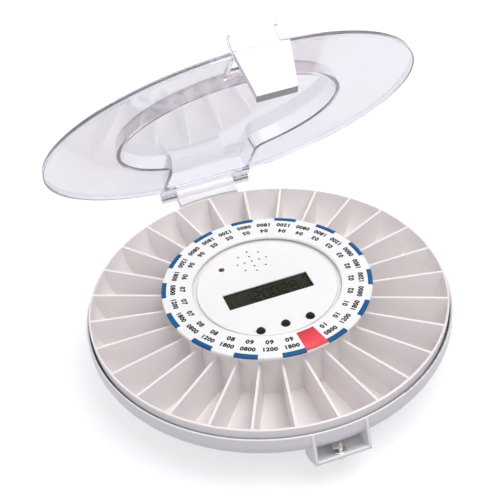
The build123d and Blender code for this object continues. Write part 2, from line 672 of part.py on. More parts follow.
def make_centre_housing():
    housing = tube(HOUSING_R, HOUSING_R - HOUSING_WALL, HOUSING_Z, COVER_Z)
    housing += cylinder(HOUSING_R, HOUSING_Z, HOUSING_FLOOR_Z)
    for x, y in board_post_positions():
        housing += cylinder(BOARD_POST_R, HOUSING_FLOOR_Z, BOARD_Z, (x, y))
        housing -= cylinder(SCREW_R, BOARD_TOP_Z - BOARD_SCREW_L - LIFT_GAP, BOARD_Z + 1, (x, y))
    for x, y in boss_positions():
        housing -= cylinder(SCREW_R, HOUSING_Z - 1, HOUSING_FLOOR_Z + 1, (x, y))
    for x, y in motor_screw_positions():
        housing -= cylinder(SCREW_R, HOUSING_FLOOR_Z - MOTOR_SCREW_BITE, HOUSING_FLOOR_Z + 1, (x, y))
    return housing - cylinder(2 * SHAFT_R, HOUSING_Z - 1, HOUSING_FLOOR_Z + 1, SHAFT_POS)


def make_housing_screws():
    length = HOUSING_FLOOR_Z - NECK_TOP_Z - LIFT_GAP
    return Compound([screw(x, y, HOUSING_FLOOR_Z, length) for x, y in boss_positions()])


def make_main_board():
    board = cylinder(BOARD_R, BOARD_Z, BOARD_TOP_Z)
    for x, y in board_post_positions():
        board -= cylinder(SCREW_R, BOARD_Z - 1, BOARD_TOP_Z + 1, (x, y))
    return board


def make_board_screws():
    return Compound([screw(x, y, BOARD_TOP_Z, BOARD_SCREW_L) for x, y in board_post_positions()])


def make_tact_switches():
    size, height = SWITCH_SIZE
    return Compound([Pos(x, BUTTON_Y, BOARD_TOP_Z + height / 2) * Box(size, size, height)
                     for x in BUTTON_X])


def make_buzzer():
    top = DISPLAY_Z - COVER_T - LIFT_GAP
    body = cylinder(BUZZER_R, BOARD_TOP_Z, top, SOUNDER_POS)
    return body - cylinder(BUZZER_PORT_R, top - BUZZER_PORT_R, top + 1, SOUNDER_POS)


def make_status_led():
    lens = cylinder(LED_R, BOARD_TOP_Z + 1, DISPLAY_Z + LED_RISE, LED_POS)
    lens = fillet(lens.edges().group_by(Z_AXIS)[-1], LED_R - 0.4)
    return lens + cylinder(LED_R + 0.4, BOARD_TOP_Z, BOARD_TOP_Z + 1, LED_POS)


def lcd_block(margin, z0, z1):
    half_x, half_y = LCD_SIZE[0] / 2 + margin, LCD_SIZE[1] / 2 + margin
    x, y = LCD_POS
    return block((x - half_x, x + half_x), (y - half_y, y + half_y), (z0, z1))


def make_lcd_module():
    return lcd_block(LCD_BORDER, BOARD_TOP_Z, DISPLAY_Z - COVER_T - SEAT_GAP)


def make_lcd_window():
    return lcd_block(-SEAT_GAP, DISPLAY_Z - COVER_T, DISPLAY_Z - LCD_WINDOW_SINK)


def make_display_cover():
    """Stepped cover: a raised display disc inside a groove that runs under the dose ring."""
    round_r = FILLET
    step_in = DISPLAY_R - COVER_T
    disc_edge = ThreePointArc((DISPLAY_R, 0, DISPLAY_Z - round_r),
                              (DISPLAY_R - 0.3 * round_r, 0, DISPLAY_Z - 0.3 * round_r),
                              (DISPLAY_R - round_r, 0, DISPLAY_Z))
    rest = path((DISPLAY_R - round_r, DISPLAY_Z), (0, DISPLAY_Z), (0, DISPLAY_Z - COVER_T),
                (step_in, DISPLAY_Z - COVER_T), (step_in, COVER_Z), (HOUSING_R, COVER_Z),
                (HOUSING_R, GROOVE_Z), (DISPLAY_R, GROOVE_Z), (DISPLAY_R, DISPLAY_Z - round_r))
    cover = turned(disc_edge.edges() + rest.edges())
    skirt_r = HOUSING_R - HOUSING_WALL - SEAT_GAP
    cover += tube(skirt_r, skirt_r - COVER_SKIRT_T, BOARD_TOP_Z + FACE_GAP, COVER_Z + COVER_T / 2)
    cover -= lcd_block(0, COVER_Z, DISPLAY_Z + 1)
    for x in BUTTON_X:
        collar_room_r = BUTTON_R + BUTTON_COLLAR[0] + FACE_GAP
        cover -= cylinder(BUTTON_R + FACE_GAP, COVER_Z - 1, DISPLAY_Z + 1, (x, BUTTON_Y))
        cover -= cylinder(collar_room_r, COVER_Z - 1, DISPLAY_Z - COVER_T, (x, BUTTON_Y))
    cover -= cylinder(LED_R + SEAT_GAP, COVER_Z, DISPLAY_Z + 1, LED_POS)
    for radius, count in zip(SOUNDER_RING_R, SOUNDER_HOLES):
        for k in range(count):
            dx, dy = polar(radius, 360 * k / count)
            hole_at = (SOUNDER_POS[0] + dx, SOUNDER_POS[1] + dy)
            cover -= cylinder(SOUNDER_HOLE_R, COVER_Z, DISPLAY_Z + 1, hole_at)
    return cover


def make_index_switch():
    """Small switch under the housing floor that feels the drive ring's teeth."""
    tip_r = RING_TIP_R - INDEX_TIP_GAP
    height = HOUSING_Z - INDEX_SIZE[2] / 2
    x, y = polar(tip_r - INDEX_TIP_OUT - INDEX_SIZE[0] / 2, DRIVE_DEG + 180)
    body = Pos(x, y, height) * Rot(0, 0, DRIVE_DEG) * Box(*INDEX_SIZE)
    tip_x, tip_y = polar(tip_r - INDEX_TIP[0] / 2, DRIVE_DEG + 180)
    return body + Pos(tip_x, tip_y, height) * Rot(0, 0, DRIVE_DEG) * Box(*INDEX_TIP)


def make_button(x):
    """Key with a low base and a small dome, and a collar that holds it under the cover."""
    collar_w, collar_t = BUTTON_COLLAR
    collar_top = DISPLAY_Z - COVER_T - SEAT_GAP
    stem_bottom = BOARD_TOP_Z + SWITCH_SIZE[1] + BUTTON_TRAVEL + SEAT_GAP
    dome = cylinder(BUTTON_DOME_R, DISPLAY_Z, DISPLAY_Z + BUTTON_H, (x, BUTTON_Y))
    dome = fillet(dome.edges().group_by(Z_AXIS)[-1], 0.8 * BUTTON_DOME_R)
    key = cylinder(BUTTON_R, stem_bottom, DISPLAY_Z + BUTTON_BASE_H, (x, BUTTON_Y))
    key = fillet(key.edges().group_by(Z_AXIS)[-1], 0.3)
    return key + dome + cylinder(BUTTON_R + collar_w, collar_top - collar_t, collar_top, (x, BUTTON_Y))


# ---- lid --------------------------------------------------------------------------

def keyhole(inset, z):
    """Outline of the raised plateau: a circle over the centre with a neck to the hinge."""
    half = THROAT_HALF_W - inset
    end = THROAT_END_Y - inset
    outline = Circle(PLATEAU_R - inset) + Pos(0, end / 2) * Rectangle(2 * half, end)
    waist = outline.vertices().filter_by(lambda v: 1 < v.Y < end - 1)
    outline = fillet(waist, THROAT_FLARE_R + inset)
    corners = outline.vertices().filter_by(lambda v: v.Y > end - 1)
    return Pos(0, 0, z) * fillet(corners, THROAT_CORNER_R - inset / 2)


def plateau(inset, z0, z1):
    return extrude(keyhole(inset, z0), z1 - z0, taper=PLATEAU_TAPER_DEG)


def lid_outline(inset):
    """The lid's round edge, made straight along the hinge."""
    half, back = KNUCKLE_END_X - inset, HINGE_EDGE_Y - inset
    edge = Pos(0, LID_Y) * Circle(LID_R - inset)
    return edge + Pos(0, back - BEYOND / 2) * Rectangle(2 * half, BEYOND)


def lid_body():
    plate = Pos(0, 0, SKIRT_Z) * extrude(lid_outline(0), LID_TOP_Z - SKIRT_Z)
    plate = fillet(plate.edges().group_by(Z_AXIS)[-1].filter_by(GeomType.CIRCLE), LID_EDGE_ROUND)
    raised = plateau(0, LID_TOP_Z, PLATEAU_Z)
    raised = fillet(raised.edges().group_by(Z_AXIS)[-1], PLATEAU_ROUND)
    body = plate + raised
    body -= Pos(0, 0, SKIRT_Z - 1) * extrude(lid_outline(LID_T), SKIRT_H + 1)
    hollow = plateau(LID_T, LID_Z - 1, PLATEAU_Z - LID_T)
    return body - hollow


def lid_knuckles():
    inner_x = HINGE_BLOCK_HALF_W + LIFT_GAP
    arms = None
    for side in (-1, 1):
        limits = sorted((side * inner_x, side * KNUCKLE_END_X))
        arm = block(limits, (HINGE_EDGE_Y - 4, HINGE_Y), (SKIRT_Z, LID_TOP_Z))
        length = KNUCKLE_END_X - inner_x
        barrel = Pos(sum(limits) / 2, HINGE_Y, HINGE_Z) * Rot(0, 90, 0) * Cylinder(KNUCKLE_R, length)
        arms = arm + barrel if arms is None else arms + arm + barrel
    for hole in hinge_pin_holes(PIN_R + PIN_GAP):
        arms -= hole
    return arms


def opening_walls():
    """Dispensing opening in the flat of the lid, with a low lip and two posts for the hood."""
    lip_t, lip_h = OPENING_LIP
    front, back = OPENING_Y
    half = OPENING_HALF_W
    walls = block((-half - lip_t, half + lip_t), (front - lip_t, back + lip_t),
                  (LID_TOP_Z - 0.5, LID_TOP_Z + lip_h))
    for side in (-1, 1):
        limits = sorted((side * (HOOD_HALF_W + SEAT_GAP), side * (half + 2 * SEAT_GAP)))
        walls += block(limits, POST_Y, (LID_TOP_Z - 0.5, LID_TOP_Z + POST_H))
    return walls


def make_lid_panel():
    lid = lid_body() + lid_knuckles() + opening_walls()
    half = OPENING_HALF_W
    lid -= block((-half, half), OPENING_Y, (SKIRT_Z - 1, PLATEAU_Z))
    lid -= block((-HOOD_HALF_W - SEAT_GAP, HOOD_HALF_W + SEAT_GAP),
                 (HOOD_Y[0] - SEAT_GAP, HOOD_Y[1] + SEAT_GAP), (SKIRT_Z - 1, PLATEAU_Z))
    notch_half = TONGUE_TOP_HALF_W + FACE_GAP
    lid -= block((-notch_half, notch_half), (-RIM_R - BEYOND, OPENING_Y[0] - 1), (SKIRT_Z - 1, LID_Z))
    return closed_lid_to_open(lid)


def tongue_half_width(z):
    share = (z - TONGUE_TIP_Z) / (LID_Z - TONGUE_TIP_Z)
    return TONGUE_TIP_HALF_W + share * (TONGUE_TOP_HALF_W - TONGUE_TIP_HALF_W)


def tongue_prism(inset, y0, y1):
    """Tapered plate of the tongue between two depths, drawn in from its sides."""
    corners = []
    for z in (TONGUE_TIP_Z, LID_Z):
        half = tongue_half_width(z) - inset
        corners.append((half, z))
    outline = [(-x, y0, z) for x, z in corners] + [(x, y0, z) for x, z in reversed(corners)]
    face = make_face(Polyline(*outline, close=True))
    return extrude(face, y1 - y0, dir=(0, 1, 0))


def make_lid_tongue():
    front, back = TONGUE_FRONT_Y, TONGUE_FRONT_Y + TONGUE_DEPTH
    tongue = tongue_prism(0, front, back)
    tongue -= tongue_prism(TONGUE_WALL, front + TONGUE_WALL, back + 1)
    tongue += block((-HOOD_HALF_W, HOOD_HALF_W), (front + TONGUE_WALL, HOOD_Y[1]), (SKIRT_Z, LID_Z))
    tongue += block((-HOOD_HALF_W, HOOD_HALF_W), HOOD_Y, (LID_Z - 0.2, LID_TOP_Z + HOOD_H))
    return closed_lid_to_open(tongue)


def make_lock_keeper():
    """Steel plate that closes the tongue's end; the cam turns in above it."""
    front, back = TONGUE_FRONT_Y, TONGUE_FRONT_Y + TONGUE_DEPTH
    bottom = TONGUE_TIP_Z - KEEPER_T
    profile = [(front, TONGUE_TIP_Z), (front, bottom), (back + 0.2, bottom - KEEPER_SLOPE),
               (back + 0.2, TONGUE_TIP_Z)]
    return closed_lid_to_open(side_profile(profile, TONGUE_TIP_HALF_W))


# ---- lock -------------------------------------------------------------------------

def make_lock_barrel():
    barrel = cylinder(BARREL_R, BARREL_BOTTOM_Z, BARREL_TOP_Z, (0, BARREL_Y))
    barrel = fillet(barrel.edges().group_by(Z_AXIS)[-1], FILLET)
    half_w, half_l, depth = KEYWAY[0] / 2, KEYWAY[1] / 2, KEYWAY[2]
    keyway = block((-half_w, half_w), (BARREL_Y - half_l, BARREL_Y + half_l),
                   (BARREL_BOTTOM_Z - 1, BARREL_BOTTOM_Z + depth))
    return barrel - keyway


def make_lock_cam():
    """Cam on the barrel's top; it points to -X when unlocked and to the front when locked."""
    post = cylinder(CAM_POST_R, BARREL_TOP_Z + SEAT_GAP, CAM_Z, (0, BARREL_Y))
    nose_x = CAM_HUB_R - CAM_REACH
    cam = cylinder(CAM_HUB_R, CAM_Z, CAM_Z + CAM_T, (0, BARREL_Y))
    cam += cylinder(CAM_HUB_R, CAM_Z, CAM_Z + CAM_T, (nose_x, BARREL_Y))
    cam += block((nose_x, 0), (BARREL_Y - CAM_HUB_R, BARREL_Y + CAM_HUB_R), (CAM_Z, CAM_Z + CAM_T))
    return post + cam


def make_cam_screw():
    top = CAM_Z + CAM_T
    head = cylinder(CAM_SCREW_R, top, top + CAM_SCREW_H, (0, BARREL_Y))
    half_slot = CAM_SCREW_R / 6
    return head - block((-CAM_SCREW_R, CAM_SCREW_R), (BARREL_Y - half_slot, BARREL_Y + half_slot),
                        (top + CAM_SCREW_H / 2, top + 1))


# ---- export -----------------------------------------------------------------------

NODES = {
    "base_shell": make_base_shell,
    "lock_housing": make_lock_housing,
    "foot_ring": make_foot_ring,
    "hinge_pins": make_hinge_pins,
    "battery_cells": make_battery_cells,
    "battery_contacts": make_battery_contacts,
    "battery_door": make_battery_door,
    "tray_bowl": make_tray_bowl,
    "tray_dividers": make_tray_dividers,
    "dose_ring": make_dose_ring,
    "drive_ring": make_drive_ring,
    "motor_pinion": make_motor_pinion,
    "motor_shaft": make_motor_shaft,
    "drive_motor": make_drive_motor,
    "motor_screws": make_motor_screws,
    "centre_housing": make_centre_housing,
    "housing_screws": make_housing_screws,
    "main_board": make_main_board,
    "board_screws": make_board_screws,
    "tact_switches": make_tact_switches,
    "buzzer": make_buzzer,
    "status_led": make_status_led,
    "lcd_module": make_lcd_module,
    "lcd_window": make_lcd_window,
    "display_cover": make_display_cover,
    "index_switch": make_index_switch,
    "button_left": lambda: make_button(BUTTON_X[0]),
    "button_middle": lambda: make_button(BUTTON_X[1]),
    "button_right": lambda: make_button(BUTTON_X[2]),
    "lid_panel": make_lid_panel,
    "lid_tongue": make_lid_tongue,
    "lock_keeper": make_lock_keeper,
    "lock_barrel": make_lock_barrel,
    "lock_cam": make_lock_cam,
    "cam_screw": make_cam_screw,
}

os.makedirs("parts", exist_ok=True)
for name, make in NODES.items():
    export_step(make(), f"parts/{name}.step")
    print("wrote", name)
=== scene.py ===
# %% [markdown]
# # Dressing an automatic pill dispenser
#
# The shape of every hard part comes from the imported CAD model, which is loaded first and stays
# where it is. This lesson adds what CAD leaves out: the plastics, the clear lid, the print on the
# dose ring, the picture on the display and the marks under the base. Lengths are in metres.

# %% Load the frame
import math

import bpy
import bmesh
from mathutils import Matrix, Quaternion, Vector


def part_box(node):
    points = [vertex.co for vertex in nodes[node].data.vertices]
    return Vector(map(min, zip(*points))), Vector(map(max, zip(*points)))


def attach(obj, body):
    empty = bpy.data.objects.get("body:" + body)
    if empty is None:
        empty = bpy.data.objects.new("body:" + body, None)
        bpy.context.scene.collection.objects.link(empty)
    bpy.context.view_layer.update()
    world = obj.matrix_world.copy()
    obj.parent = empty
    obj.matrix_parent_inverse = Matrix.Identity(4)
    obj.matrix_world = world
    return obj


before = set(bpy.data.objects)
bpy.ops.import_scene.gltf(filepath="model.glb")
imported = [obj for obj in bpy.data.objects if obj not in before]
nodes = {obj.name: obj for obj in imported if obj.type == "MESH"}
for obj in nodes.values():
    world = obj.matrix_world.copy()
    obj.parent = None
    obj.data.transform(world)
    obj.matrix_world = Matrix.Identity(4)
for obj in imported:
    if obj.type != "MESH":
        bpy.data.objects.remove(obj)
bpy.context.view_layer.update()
MM = 0.001

# %% [markdown]
# ## The camera
#
# A long lens that looks down at about 40 degrees keeps the round base an even ellipse. The camera
# is placed by its position, the direction it looks in and a slight roll. A quaternion made from the
# view direction does this without any target object.

# %% Set up the camera
CAMERA_PLACE = (-0.15065, -0.47289, 0.48475)
CAMERA_LOOKS = (0.223844, 0.738115, -0.636459)
CAMERA_ROLL_DEG = -5.245
LENS_MM = 92.19
SENSOR_MM = 36.0
NEAREST = 0.01


def add_camera():
    """A camera with the lens, place and roll given above."""
    data = bpy.data.cameras.new("camera")
    data.lens = LENS_MM
    data.sensor_width = SENSOR_MM
    data.clip_start = NEAREST
    camera = bpy.data.objects.new("camera", data)
    turn = Vector(CAMERA_LOOKS).to_track_quat("-Z", "Y")
    turn = turn @ Quaternion((0, 0, 1), math.radians(CAMERA_ROLL_DEG))
    camera.matrix_world = Matrix.Translation(CAMERA_PLACE) @ turn.to_matrix().to_4x4()
    bpy.context.scene.collection.objects.link(camera)
    bpy.context.scene.camera = camera
    return camera


camera = add_camera()
print("camera at", tuple(round(v, 3) for v in camera.matrix_world.translation))

# %% [markdown]
# ## Light and floor
#
# The dispenser stands in a bright tent: a large soft lamp above and a little in front, a weaker
# one low on the left, and a pale world all round. Light Path tells the camera's own rays from the
# rest, so the background is plain white while the object is lit at an ordinary level. Rays that a
# clear lid bends or a metal screw reflects see the same white.

# %% Tell the rays that see the background from the rest


def sees_background(tree):
    """1 for a ray of the camera, or one that glass or metal sends on; otherwise 0."""
    path = tree.nodes.new("ShaderNodeLightPath")
    either = tree.nodes.new("ShaderNodeMath")
    either.operation = "MAXIMUM"
    tree.links.new(path.outputs["Is Camera Ray"], either.inputs[0])
    tree.links.new(path.outputs["Is Transmission Ray"], either.inputs[1])
    all_three = tree.nodes.new("ShaderNodeMath")
    all_three.operation = "MAXIMUM"
    tree.links.new(either.outputs[0], all_three.inputs[0])
    tree.links.new(path.outputs["Is Glossy Ray"], all_three.inputs[1])
    return all_three.outputs[0]


print("camera, glossy and transmission rays will see the background")

# %% Set the world
WORLD_LIGHT = (0.90, 0.89, 0.95)
WORLD_STRENGTH = 0.54
WHITE = (1, 1, 1, 1)
BACKGROUND_STRENGTH = 1.0


def set_world():
    """A world that lights softly and looks white."""
    world = bpy.data.worlds.new("studio")
    bpy.context.scene.world = world
    world.use_nodes = True
    tree = world.node_tree
    tree.nodes.clear()
    light = tree.nodes.new("ShaderNodeBackground")
    light.inputs["Color"].default_value = (*WORLD_LIGHT, 1)
    light.inputs["Strength"].default_value = WORLD_STRENGTH
    white = tree.nodes.new("ShaderNodeBackground")
    white.inputs["Color"].default_value = WHITE
    white.inputs["Strength"].default_value = BACKGROUND_STRENGTH
    mix = tree.nodes.new("ShaderNodeMixShader")
    tree.links.new(sees_background(tree), mix.inputs[0])
    tree.links.new(light.outputs[0], mix.inputs[1])
    tree.links.new(white.outputs[0], mix.inputs[2])
    out = tree.nodes.new("ShaderNodeOutputWorld")
    tree.links.new(mix.outputs[0], out.inputs["Surface"])


set_world()
bpy.context.scene.view_settings.view_transform = "Standard"
print("world strength", WORLD_STRENGTH)

# %% Add the lamps
LAMP_AIM = (0, 0, 0.04)
LAMPS = (
    ("lamp_above", (0.14, -0.32, 0.88), 0.6, 5.0, (1.0, 0.99, 0.97)),
    ("lamp_left", (-0.75, -0.45, 0.45), 0.4, 1.0, (0.95, 0.97, 1.0)),
)


def add_lamp(name, place, size, watts, colour):
    """A square lamp that faces the middle of the object."""
    data = bpy.data.lights.new(name, "AREA")
    data.shape = "SQUARE"
    data.size = size
    data.energy = watts
    data.color = colour
    lamp = bpy.data.objects.new(name, data)
    aim = Vector(LAMP_AIM) - Vector(place)
    lamp.matrix_world = Matrix.Translation(place) @ aim.to_track_quat("-Z", "Y").to_matrix().to_4x4()
    bpy.context.scene.collection.objects.link(lamp)


for lamp in LAMPS:
    add_lamp(*lamp)
print("lamps:", ", ".join(lamp[0] for lamp in LAMPS))

# %% [markdown]
# The floor is a round sheet that fades into the white background and still takes a shadow. It is
# matt, with a glow that grows with the distance from the object. Rays that light the object meet a
# dimmer floor without the glow, so the underside stays in shade.

# %% Add the floor
FLOOR_R = 3.0
FLOOR_CORNERS = 48
FLOOR_SEEN = (0.50, 0.50, 0.53, 1)
FLOOR_DIM = (0.33, 0.33, 0.35, 1)
FLOOR_GLOW = (0.62, 0.90)
GLOW_REACH = (0.15, 0.50)


def glow_from_middle(tree):
    """The floor's glow, which grows with the distance from the object."""
    coords = tree.nodes.new("ShaderNodeTexCoord").outputs["Object"]
    away = tree.nodes.new("ShaderNodeVectorMath")
    away.operation = "LENGTH"
    tree.links.new(coords, away.inputs[0])
    grow = tree.nodes.new("ShaderNodeMapRange")
    grow.inputs["From Min"].default_value, grow.inputs["From Max"].default_value = GLOW_REACH
    grow.inputs["To Min"].default_value, grow.inputs["To Max"].default_value = FLOOR_GLOW
    tree.links.new(away.outputs["Value"], grow.inputs["Value"])
    return grow.outputs["Result"]


def add_floor():
    """A round floor that fades into the background and still takes a shadow."""
    mesh = bpy.data.meshes.new("floor")
    angles = [math.tau * k / FLOOR_CORNERS for k in range(FLOOR_CORNERS)]
    rim = [(FLOOR_R * math.cos(a), FLOOR_R * math.sin(a), 0) for a in angles]
    mesh.from_pydata(rim, [], [range(FLOOR_CORNERS)])
    floor = bpy.data.objects.new("floor", mesh)
    bpy.context.scene.collection.objects.link(floor)
    material = bpy.data.materials.new("pale_floor")
    material.use_nodes = True
    tree = material.node_tree
    tree.nodes.clear()
    matt = tree.nodes.new("ShaderNodeBsdfDiffuse")
    matt.inputs["Color"].default_value = FLOOR_SEEN
    dim = tree.nodes.new("ShaderNodeBsdfDiffuse")
    dim.inputs["Color"].default_value = FLOOR_DIM
    glow = tree.nodes.new("ShaderNodeEmission")
    glow.inputs["Color"].default_value = WHITE
    tree.links.new(glow_from_middle(tree), glow.inputs["Strength"])
    added = tree.nodes.new("ShaderNodeAddShader")
    tree.links.new(matt.outputs[0], added.inputs[0])
    tree.links.new(glow.outputs[0], added.inputs[1])
    mix = tree.nodes.new("ShaderNodeMixShader")
    tree.links.new(sees_background(tree), mix.inputs[0])
    tree.links.new(dim.outputs[0], mix.inputs[1])
    tree.links.new(added.outputs[0], mix.inputs[2])
    out = tree.nodes.new("ShaderNodeOutputMaterial")
    tree.links.new(mix.outputs[0], out.inputs["Surface"])
    mesh.materials.append(material)


add_floor()
print("floor of", FLOOR_R, "m radius")

# %% [markdown]
# ## Plastics
#
# Moulded plastic is never one flat colour. It has a faint mottle, and a grain so fine that only
# the gloss shows it. One recipe makes all of them: a slow noise moves the colour between two near
# tints, a finer noise moves the roughness, and the finest one is a bump. Values that are the same
# all over sit on the shader's own sockets.

# %% Write the helpers of every material
NOISE_SPAN = (0.35, 0.65)
GLOSS_SCALE = 220
GRAIN_STRENGTH = 0.25
GRAIN_DETAIL = 2.0
COAT_ROUGH = 0.08


def noise(tree, coords, scale, detail=3.0):
    """Noise on object coordinates; scale is waves per metre."""
    node = tree.nodes.new("ShaderNodeTexNoise")
    node.inputs["Scale"].default_value = scale
    node.inputs["Detail"].default_value = detail
    tree.links.new(coords, node.inputs["Vector"])
    return node.outputs["Fac"]


def spread(tree, value, low, high):
    """Stretch a noise from its usual span to low..high."""
    node = tree.nodes.new("ShaderNodeMapRange")
    node.inputs["From Min"].default_value, node.inputs["From Max"].default_value = NOISE_SPAN
    node.inputs["To Min"].default_value = low
    node.inputs["To Max"].default_value = high
    tree.links.new(value, node.inputs["Value"])
    return node.outputs["Result"]


def two_tints(tree, value, first, second):
    """Colour that moves between two tints with a noise."""
    node = tree.nodes.new("ShaderNodeMix")
    node.data_type = "RGBA"
    node.inputs["A"].default_value = (*first, 1)
    node.inputs["B"].default_value = (*second, 1)
    tree.links.new(spread(tree, value, 0, 1), node.inputs["Factor"])
    return node.outputs["Result"]


def bump(tree, shader, value, strength, depth):
    """Let a value raise the surface by up to a depth in metres."""
    node = tree.nodes.new("ShaderNodeBump")
    node.inputs["Strength"].default_value = strength
    node.inputs["Distance"].default_value = depth
    tree.links.new(value, node.inputs["Height"])
    tree.links.new(node.outputs["Normal"], shader.inputs["Normal"])


def start_material(name):
    """A material with one principled shader, and the object coordinates to paint it by."""
    material = bpy.data.materials.new(name)
    material.use_nodes = True
    tree = material.node_tree
    shader = tree.nodes["Principled BSDF"]
    coords = tree.nodes.new("ShaderNodeTexCoord").outputs["Object"]
    return material, tree, shader, coords


print("noise between", *NOISE_SPAN, "is spread over each range")

# %% Make the plastics


def moulded(name, tint, other, rough=(0.3, 0.4), grain=2500, depth=0.03 * MM, coat=0.0, mottle=35,
            shine=0.5):
    """A moulded plastic, rubber or ink between two tints and two roughnesses."""
    material, tree, shader, coords = start_material(name)
    tree.links.new(two_tints(tree, noise(tree, coords, mottle), tint, other), shader.inputs["Base Color"])
    tree.links.new(spread(tree, noise(tree, coords, GLOSS_SCALE), *rough), shader.inputs["Roughness"])
    bump(tree, shader, noise(tree, coords, grain, GRAIN_DETAIL), GRAIN_STRENGTH, depth)
    shader.inputs["Specular IOR Level"].default_value = shine
    shader.inputs["Coat Weight"].default_value = coat
    shader.inputs["Coat Roughness"].default_value = COAT_ROUGH
    return material


shell_white = moulded("shell_white", (0.83, 0.82, 0.84), (0.84, 0.83, 0.85), (0.30, 0.34),
                      depth=0.01 * MM, coat=0.1)
tray_white = moulded("tray_white", (0.91, 0.865, 0.862), (0.92, 0.880, 0.875), (0.34, 0.40),
                     depth=0.01 * MM, mottle=25)
cover_white = moulded("cover_white", (0.90, 0.90, 0.89), (0.91, 0.91, 0.90), (0.30, 0.36), depth=0.01 * MM)
ring_white = moulded("ring_white", (0.89, 0.89, 0.885), (0.91, 0.91, 0.905), (0.38, 0.46))
key_black = moulded("key_black", (0.008, 0.008, 0.009), (0.014, 0.014, 0.015), (0.34, 0.46), 4000,
                    shine=0.2)
foot_rubber = moulded("foot_rubber", (0.020, 0.020, 0.021), (0.032, 0.032, 0.033), (0.65, 0.8), 1500,
                      0.1 * MM)
inner_grey = moulded("inner_grey", (0.55, 0.55, 0.55), (0.60, 0.60, 0.60), (0.45, 0.55))
gear_natural = moulded("gear_natural", (0.72, 0.70, 0.62), (0.76, 0.74, 0.67), (0.3, 0.4))
board_green = moulded("board_green", (0.01, 0.09, 0.03), (0.015, 0.11, 0.04), (0.3, 0.4))
print("made", len(bpy.data.materials), "materials")

# %% [markdown]
# ## Metals
#
# The lock, the plate at the tongue's end and the screws are bare steel. Turned or rolled metal has
# fine lines along one direction, so the noise is stretched: a Mapping node squeezes one axis.

# %% Make the metals
TURNED = (60, 60, 4000)
ROLLED = (4000, 60, 60)
DARKER = 0.8
LINE_DETAIL = 4.0
LINE_STRENGTH, LINE_DEPTH = 0.2, 0.02 * MM


def bare_metal(name, colour, rough, lines):
    """Metal with fine lines, where lines is the noise's waves per metre along X, Y and Z."""
    material, tree, shader, coords = start_material(name)
    mapping = tree.nodes.new("ShaderNodeMapping")
    mapping.inputs["Scale"].default_value = lines
    tree.links.new(coords, mapping.inputs["Vector"])
    streak = noise(tree, mapping.outputs["Vector"], 1.0, LINE_DETAIL)
    darker = tuple(DARKER * c for c in colour)
    tree.links.new(two_tints(tree, streak, darker, colour), shader.inputs["Base Color"])
    tree.links.new(spread(tree, streak, *rough), shader.inputs["Roughness"])
    bump(tree, shader, streak, LINE_STRENGTH, LINE_DEPTH)
    shader.inputs["Metallic"].default_value = 1.0
    return material


lock_steel = bare_metal("lock_steel", (0.74, 0.72, 0.68), (0.16, 0.34), TURNED)
plate_steel = bare_metal("plate_steel", (0.32, 0.32, 0.33), (0.30, 0.5), ROLLED)
pin_steel = bare_metal("pin_steel", (0.62, 0.62, 0.62), (0.2, 0.35), ROLLED)
pinion_brass = bare_metal("pinion_brass", (0.78, 0.60, 0.28), (0.2, 0.35), TURNED)
print("metals made")

# %% [markdown]
# ## Battery cells
#
# Four cells lie side by side in the base, each with a dark label, a copper band near each end and
# bare metal at the tips. The cells lie along Y, so the distance from their middle picks the colour
# from a ramp with hard steps.

# %% Wrap the cells
CELL_HALF_L = 25 * MM
BAND_FROM, BARE_FROM = 0.70, 0.94
LABEL_DARK = (0.02, 0.02, 0.025, 1)
LABEL_COPPER = (0.55, 0.26, 0.10, 1)
TIP_BARE = (0.62, 0.62, 0.63, 1)
LABEL_GLOSS_SCALE, LABEL_ROUGH, LABEL_METALLIC = 300, (0.25, 0.35), 0.6


def cell_wrap():
    """A battery cell: a dark label with a copper band near each end, then bare metal."""
    material, tree, shader, coords = start_material("cell_label")
    split = tree.nodes.new("ShaderNodeSeparateXYZ")
    tree.links.new(coords, split.inputs[0])
    from_middle = tree.nodes.new("ShaderNodeMath")
    from_middle.operation = "ABSOLUTE"
    tree.links.new(split.outputs["Y"], from_middle.inputs[0])
    share = tree.nodes.new("ShaderNodeMapRange")
    share.inputs["From Max"].default_value = CELL_HALF_L
    tree.links.new(from_middle.outputs[0], share.inputs["Value"])
    ramp = tree.nodes.new("ShaderNodeValToRGB")
    ramp.color_ramp.interpolation = "CONSTANT"
    ramp.color_ramp.elements[0].color = LABEL_DARK
    ramp.color_ramp.elements[1].position = BARE_FROM
    ramp.color_ramp.elements[1].color = TIP_BARE
    band = ramp.color_ramp.elements.new(BAND_FROM)
    band.color = LABEL_COPPER
    tree.links.new(share.outputs["Result"], ramp.inputs["Fac"])
    tree.links.new(ramp.outputs["Color"], shader.inputs["Base Color"])
    gloss = noise(tree, coords, LABEL_GLOSS_SCALE)
    tree.links.new(spread(tree, gloss, *LABEL_ROUGH), shader.inputs["Roughness"])
    shader.inputs["Metallic"].default_value = LABEL_METALLIC
    return material


cell_label = cell_wrap()
print("a cell's label ends", round(BAND_FROM * CELL_HALF_L / MM, 1), "mm from its middle")

# %% [markdown]
# ## The clear lid
#
# The lid is clear acrylic, 1.6 mm thick, with a faint tint that drifts from pink to blue. It is a
# real solid here, so the shader refracts at both faces; its colour is what white looks like
# through it. A tenth of the light is scattered, which gives the slight haze of a moulded lid. Slow
# noise moves the gloss and bends the faces a little, as moulding flow does. The display's window
# and the status light use the same recipe.

# %% Make the clear plastics
TINT_SCALE = 9
FLOW_SCALE = 30
WAVE_SCALE, WAVE_DETAIL = 25, 1.0
WAVE_STRENGTH, WAVE_DEPTH = 0.06, 0.4 * MM
ACRYLIC_IOR = 1.49


